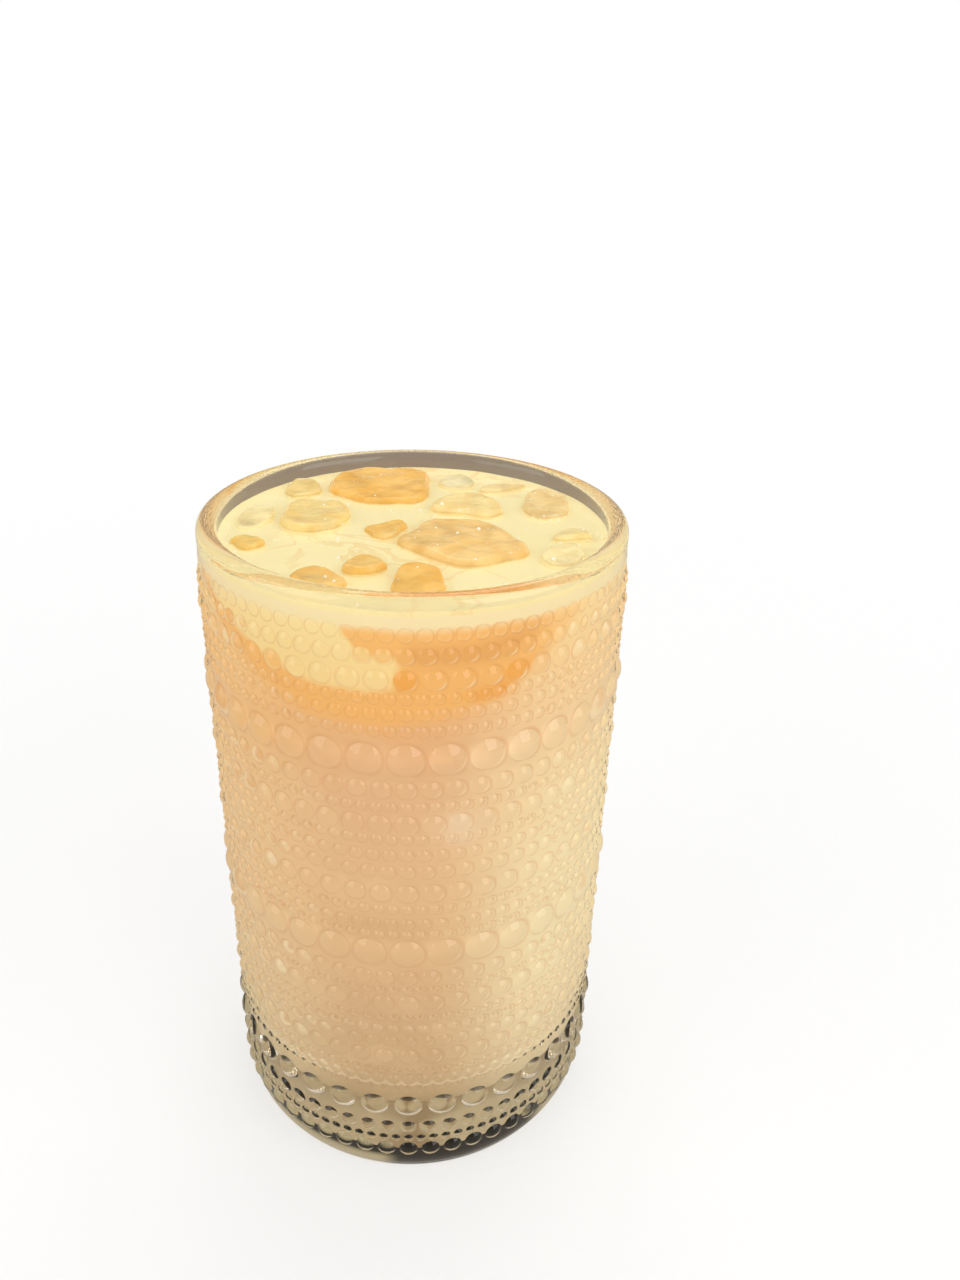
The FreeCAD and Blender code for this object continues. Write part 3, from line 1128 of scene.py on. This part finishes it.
studio = {
    "floorSize": 12.0,  # metres
    "floorTones": ((0.90, 0.90, 0.895), (0.94, 0.94, 0.935)),
    "floorWhite": 0.55,  # how far the floor is plain white to sight near the glass
    "fadeFrom": 0.14,  # metres from the glass where it starts to run into the white backdrop
    "fadeTo": 0.5,
    "worldLight": 0.72,
    "lightThroughGlass": 1.55,  # the world's light on the drink's sides
    "behindGlass": (0.70, 0.62, 0.48),
    "mirroredWorld": (0.32, 0.29, 0.24),
    "mirroredFloor": (0.55, 0.50, 0.42),
    # A dark ring that only shows through the glass, as a studio flag: the glass's edges and beads need
    # something dark to bend, or they vanish against white. Its tone changes between two radii.
    "ringInner": 0.036,
    "ringOuter": 1.1,
    "ringNear": (0.10, 0.085, 0.062),
    "ringFar": (0.27, 0.215, 0.165),
    "ringFade": (42.0, 90.0),
    "ringHeight": 0.4,
    # Seen through the base, the floor under the foot carries a painted shadow, dark out to these radii,
    # the first in a sector at the front right between these angles, the second elsewhere; outside the
    # second it is paler, as painted light.
    "underFoot": (0.0366, 0.0304),
    "underFootSector": (-5.0, 50.0),
    "sectorSoft": (4.0, 5.0),
    "underFootSoft": (0.0002, 0.0008),
    "underFootShadowTone": (0.012, 0.010, 0.007),
    "underFootLitTone": (0.42, 0.34, 0.19),
    "lamps": [
        # name, place, size, watts, all in metres
        ("keyLamp", (1.1, -0.8, 0.6), 1.3, 9.5),
        ("fillLamp", (-1.2, -0.7, 0.55), 1.3, 7.0),
        ("backLamp", (0.1, 0.8, 1.6), 1.0, 6.0),
    ],
    "lampsAimAt": (0.0, 0.0, 0.06),
}


def stagePiece(name, shell, material):
    mesh = meshFrom(name, shell)
    mesh.materials.append(material)
    piece = placed(name, mesh)
    return piece


def inSight(wiring):
    # 1 until a ray has met a matt surface: what is dark to sight takes no light from the drink
    return 1.0 - wiring.path("Diffuse Depth").clamp()


def mirrored(wiring):
    return wiring.path("Is Reflection Ray") * wiring.path("Is Glossy Ray")


def makeFloor():
    finish = Finish("paleFloor")
    x, y = finish.axes()[:2]
    away = finish.math("SQRT", x * x + y * y) * mm
    colour = finish.mix(finish.noise(600.0, 2.0), *studio["floorTones"])
    lit = finish.principled(baseColor=colour, roughness=0.9)
    tone = finish.mix(mirrored(finish), (1.0, 1.0, 1.0), studio["mirroredFloor"])
    glow = finish.glow(tone)
    fade = finish.step(away, studio["fadeFrom"], studio["fadeTo"])
    white = studio["floorWhite"] + (1.0 - studio["floorWhite"]) * fade
    share = (1.0 - finish.path("Is Diffuse Ray")) * white
    share = finish.math("MAXIMUM", share, mirrored(finish) * inSight(finish))
    plain = finish.blend(share, lit, glow)
    # under the foot: a painted shadow, and a paler ring of painted light outside the front-right sector
    outer, inner = studio["underFoot"]
    start, end = studio["underFootSector"]
    startSoft, endSoft = studio["sectorSoft"]
    outerSoft, innerSoft = studio["underFootSoft"]
    turn = finish.turn(x, -y)
    sector = finish.step(turn, start - startSoft, start + startSoft)
    sector = sector * finish.step(turn, end + endSoft, end - endSoft)
    pale = finish.step(away, inner - innerSoft, inner + innerSoft) * (1.0 - sector)
    tone = finish.mix(pale, studio["underFootShadowTone"], studio["underFootLitTone"])
    paintedUnderFoot = finish.glow(tone)
    covered = finish.step(away, outer + outerSoft, outer - outerSoft) * inSight(finish)
    shader = finish.blend(covered, plain, paintedUnderFoot)
    size = studio["floorSize"]
    shell = Shell()
    shell.verts = [(-size, -size, 0), (size, -size, 0), (size, size, 0), (-size, size, 0)]
    shell.faces = [(0, 1, 2, 3)]
    stagePiece("studioFloor", shell, finish.show(shader))


def makeRing():
    finish = Finish("darkCard")
    x, y = finish.axes()[:2]
    away = finish.math("SQRT", x * x + y * y)
    fade = finish.step(away, *studio["ringFade"])
    colour = finish.mix(fade, studio["ringNear"], studio["ringFar"])
    dark = finish.glow(colour)
    gone = finish.node("ShaderNodeBsdfTransparent")
    shader = finish.blend(inSight(finish), gone, dark)
    shell = Shell()
    angles = [math.radians(5 * k) for k in range(72)]
    height = studio["ringHeight"]
    inner = shell.ring(studio["ringInner"] / mm, angles, height)
    shell.band(inner, shell.ring(studio["ringOuter"] / mm, angles, height))
    card = stagePiece("darkRing", shell, finish.show(shader))
    card.visible_camera = card.visible_diffuse = card.visible_glossy = card.visible_shadow = False


def makeWorld():
    world = bpy.data.worlds.new("studioWorld")
    scene.world = world
    wiring = Wiring(world)
    seen, glass = inSight(wiring), wiring.path("Is Transmission Ray")
    tone = wiring.mix(glass * seen, (1.0, 1.0, 1.0), studio["behindGlass"])
    tone = wiring.mix(mirrored(wiring) * seen, tone, studio["mirroredWorld"])
    low, high = studio["worldLight"], studio["lightThroughGlass"]
    light = seen + (1.0 - seen) * (low + glass * (high - low))
    back = wiring.node("ShaderNodeBackground", sockets={"Color": tone, "Strength": light})
    wiring.show(back, "World")


def makeLamps():
    for name, place, size, watts in studio["lamps"]:
        data = bpy.data.lights.new(name, "AREA")
        data.size, data.energy = size, watts
        lamp = placed(name, data)
        lamp.location = place
        lamp.rotation_mode = "QUATERNION"
        aim = Vector(studio["lampsAimAt"]) - Vector(place)
        lamp.rotation_quaternion = aim.to_track_quat("-Z", "Y")


makeRing()
makeFloor()
makeWorld()
makeLamps()
print("studio set")
